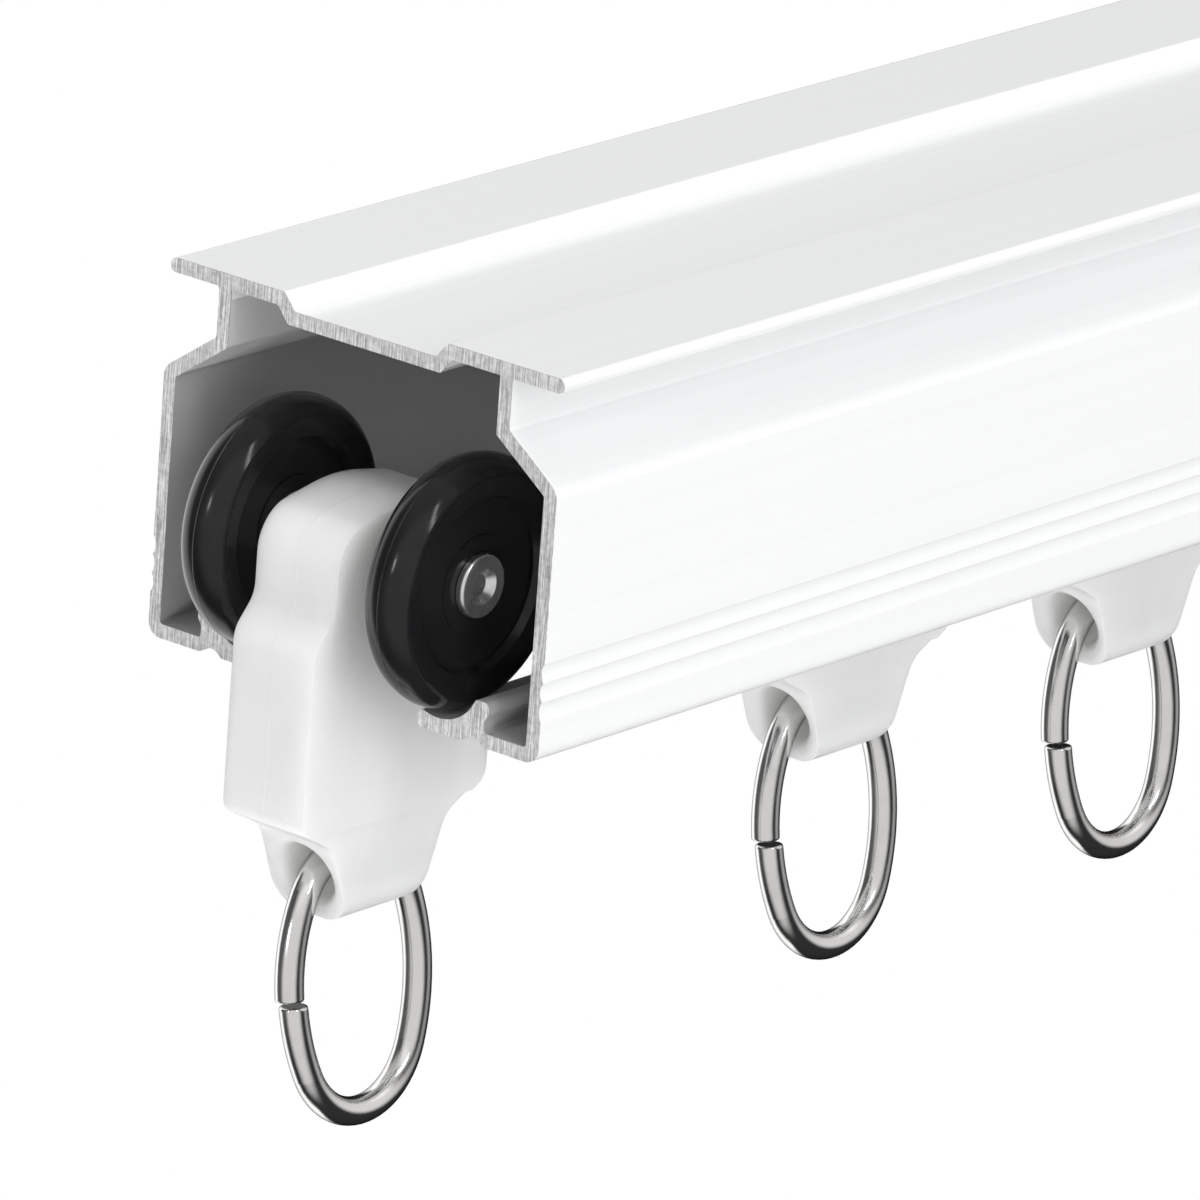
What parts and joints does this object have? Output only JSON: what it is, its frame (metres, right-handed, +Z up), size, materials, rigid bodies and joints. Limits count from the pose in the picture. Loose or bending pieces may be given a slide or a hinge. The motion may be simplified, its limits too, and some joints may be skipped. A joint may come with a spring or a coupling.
{
  "type": "curtain track",
  "caption": "Ceiling curtain track of slotted white section with roller carriers, each with wheels on a riveted axle and a split ring.",
  "frame": {"origin": "on the floor of the recess in the track's top, on its middle line and halfway along its length", "axes": "+X along the track away from the sawn end, +Y across it to the far side wall, +Z up to the ceiling"},
  "size_m": [0.2076, 0.036, 0.0596],
  "materials": {
    "track": "extruded, white powder coat, bare metal on the sawn end",
    "nylon": "milky natural nylon, satin",
    "wheel": "glossy black",
    "rivet": "zinc-plated, lightly worn",
    "ring": "bright nickel"
  },
  "bodies": {
    "track": {"track": "track"},
    "carrier_1": {"carrier_body_1": "nylon", "axle_rivet_1": "rivet"},
    "near_wheel_1": {"near_wheel_1": "wheel"},
    "far_wheel_1": {"far_wheel_1": "wheel"},
    "ring_1": {"ring_1": "ring"},
    "carrier_2": {"carrier_body_2": "nylon", "axle_rivet_2": "rivet"},
    "near_wheel_2": {"near_wheel_2": "wheel"},
    "far_wheel_2": {"far_wheel_2": "wheel"},
    "ring_2": {"ring_2": "ring"},
    "carrier_3": {"carrier_body_3": "nylon", "axle_rivet_3": "rivet"},
    "near_wheel_3": {"near_wheel_3": "wheel"},
    "far_wheel_3": {"far_wheel_3": "wheel"},
    "ring_3": {"ring_3": "ring"},
    "carrier_4": {"carrier_body_4": "nylon", "axle_rivet_4": "rivet"},
    "near_wheel_4": {"near_wheel_4": "wheel"},
    "far_wheel_4": {"far_wheel_4": "wheel"},
    "ring_4": {"ring_4": "ring"}
  },
  "joints": [
    {"name": "carrier_slide_1", "type": "slide", "parent": "track", "child": "carrier_1", "axis": [1, 0, 0], "range_m": [-0.002, 0.016]},
    {"name": "near_wheel_spin_1", "type": "hinge", "parent": "carrier_1", "child": "near_wheel_1", "pos_m": [-0.09765, 0, -0.01625], "axis": [0, 1, 0], "continuous": true},
    {"name": "far_wheel_spin_1", "type": "hinge", "parent": "carrier_1", "child": "far_wheel_1", "pos_m": [-0.09765, 0, -0.01625], "axis": [0, 1, 0], "continuous": true},
    {"name": "ring_swing_1", "type": "hinge", "parent": "carrier_1", "child": "ring_1", "pos_m": [-0.09765, 0, -0.03905], "axis": [1, 0, 0], "range_deg": [-50, 66]},
    {"name": "carrier_slide_2", "type": "slide", "parent": "track", "child": "carrier_2", "axis": [1, 0, 0], "range_m": [-0.016, 0.0068]},
    {"name": "near_wheel_spin_2", "type": "hinge", "parent": "carrier_2", "child": "near_wheel_2", "pos_m": [-0.0444, 0, -0.01625], "axis": [0, 1, 0], "continuous": true},
    {"name": "far_wheel_spin_2", "type": "hinge", "parent": "carrier_2", "child": "far_wheel_2", "pos_m": [-0.0444, 0, -0.01625], "axis": [0, 1, 0], "continuous": true},
    {"name": "ring_swing_2", "type": "hinge", "parent": "carrier_2", "child": "ring_2", "pos_m": [-0.0444, 0, -0.03905], "axis": [1, 0, 0], "range_deg": [-50, 66]},
    {"name": "carrier_slide_3", "type": "slide", "parent": "track", "child": "carrier_3", "axis": [1, 0, 0], "range_m": [-0.0068, 0.0068]},
    {"name": "near_wheel_spin_3", "type": "hinge", "parent": "carrier_3", "child": "near_wheel_3", "pos_m": [-0.0097, 0, -0.01625], "axis": [0, 1, 0], "continuous": true},
    {"name": "far_wheel_spin_3", "type": "hinge", "parent": "carrier_3", "child": "far_wheel_3", "pos_m": [-0.0097, 0, -0.01625], "axis": [0, 1, 0], "continuous": true},
    {"name": "ring_swing_3", "type": "hinge", "parent": "carrier_3", "child": "ring_3", "pos_m": [-0.0097, 0, -0.03905], "axis": [1, 0, 0], "range_deg": [-50, 66]},
    {"name": "carrier_slide_4", "type": "slide", "parent": "track", "child": "carrier_4", "axis": [1, 0, 0], "range_m": [-0.0068, 0.06]},
    {"name": "near_wheel_spin_4", "type": "hinge", "parent": "carrier_4", "child": "near_wheel_4", "pos_m": [0.025, 0, -0.01625], "axis": [0, 1, 0], "continuous": true},
    {"name": "far_wheel_spin_4", "type": "hinge", "parent": "carrier_4", "child": "far_wheel_4", "pos_m": [0.025, 0, -0.01625], "axis": [0, 1, 0], "continuous": true},
    {"name": "ring_swing_4", "type": "hinge", "parent": "carrier_4", "child": "ring_4", "pos_m": [0.025, 0, -0.03905], "axis": [1, 0, 0], "range_deg": [-50, 66]}
  ]
}
